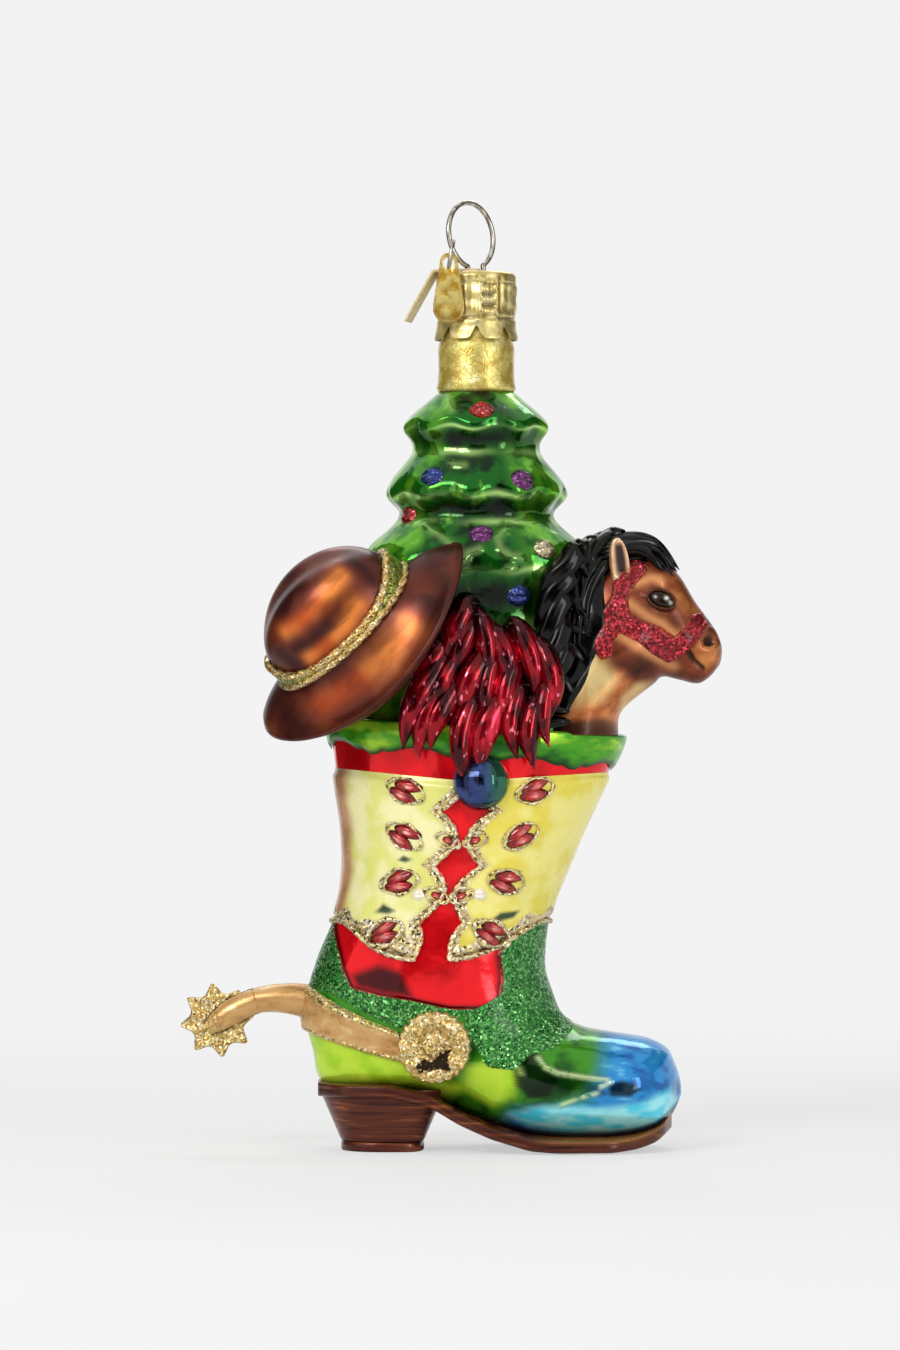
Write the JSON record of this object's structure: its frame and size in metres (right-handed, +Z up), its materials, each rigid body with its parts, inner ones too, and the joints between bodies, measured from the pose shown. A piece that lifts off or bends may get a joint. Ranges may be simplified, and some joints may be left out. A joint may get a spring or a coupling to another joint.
{
  "type": "boot ornament",
  "caption": "Blown glass cowboy boot ornament with a tree, hat, horse head and chili peppers standing in its top, a spur at the heel, a stamped cap, a wire hanger and tags.",
  "frame": {"origin": "On the floor under the middle of the heel", "axes": "+Z up along the tree to the hanger, +X towards the toe, -Y towards the viewer of the decorated side"},
  "size_m": [0.0922, 0.0435, 0.1613],
  "materials": {
    "shaft_red": "silvered glass under clear red lacquer, high gloss",
    "foot_green": "silvered glass under green and blue lacquer, high gloss",
    "collar_green": "bright green lacquer, satin",
    "panel_yellow": "pearly yellow paint, satin",
    "rosette_red": "red enamel in relief, gloss",
    "sole_brown": "brown metallic paint, satin",
    "heel_brown": "brown metallic paint with stacked lines, satin",
    "spur_gold": "gold glitter over gold paint",
    "tree_green": "silvered glass under clear green lacquer, high gloss",
    "bauble_blue": "coloured glitter dabs and gloss lacquer",
    "neck_gold": "crackled gold paint with fine glitter",
    "hat_brown": "brown metallic paint, satin",
    "band_gold": "gold glitter rope",
    "horse_brown": "brown metallic paint running to gold, satin",
    "mane_black": "black lacquer, gloss",
    "ear_gold": "gold paint, satin",
    "eye_black": "black enamel, gloss",
    "bridle_red": "red glitter over red paint",
    "chili_red": "silvered glass under clear red lacquer, high gloss",
    "cap_gold": "thin stamped sheet, gold washed, bright",
    "wire_steel": "drawn wire, bright",
    "tag_gold": "gold foil face, left plain",
    "tag_card": "pale card, left plain"
  },
  "bodies": {
    "ornament": {"boot_shaft": "shaft_red", "boot_foot": "foot_green", "boot_collar": "collar_green", "front_panel": "panel_yellow", "back_panel": "panel_yellow", "panel_rosettes": "rosette_red", "boot_sole": "sole_brown", "boot_heel": "heel_brown", "heel_lift": "heel_brown", "spur_strap": "spur_gold", "conchos": "spur_gold", "spur_shank": "spur_gold", "spur_rowel": "spur_gold", "rowel_pin": "spur_gold", "tree": "tree_green", "tree_baubles": "bauble_blue", "big_bauble": "bauble_blue", "neck": "neck_gold", "hat_crown": "hat_brown", "hat_brim": "hat_brown", "hat_band": "band_gold", "horse_head": "horse_brown", "horse_mane": "mane_black", "horse_ears": "ear_gold", "horse_eyes": "eye_black", "horse_bridle": "bridle_red", "chili_peppers": "chili_red"},
    "cap": {"cap": "cap_gold"},
    "hanger": {"hanger_wire": "wire_steel"},
    "ring": {"tag_ring": "wire_steel"},
    "tag": {"gold_tag": "tag_gold"},
    "card": {"card_tag": "tag_card"}
  },
  "joints": [
    {"name": "cap_pull", "type": "slide", "parent": "ornament", "child": "cap", "axis": [0, 0, 1], "range_m": [0, 0.02]},
    {"name": "hanger_pull", "type": "slide", "parent": "cap", "child": "hanger", "axis": [-0.1392, 0, 0.9903], "range_m": [0, 0.004]},
    {"name": "tag_ring_swing", "type": "hinge", "parent": "hanger", "child": "ring", "pos_m": [0.01099, -0.00383, 0.15267], "axis": [1, 0, 0], "range_deg": [-25, 0]},
    {"name": "gold_tag_swing", "type": "hinge", "parent": "ring", "child": "tag", "pos_m": [0.01033, -0.00724, 0.15005], "axis": [1, 0, 0], "range_deg": [-70, 0]},
    {"name": "card_swivel", "type": "hinge", "parent": "cap", "child": "card", "pos_m": [0.01366, -0.00149, 0.14905], "axis": [0, 0, 1], "range_deg": [-10, 10]}
  ]
}
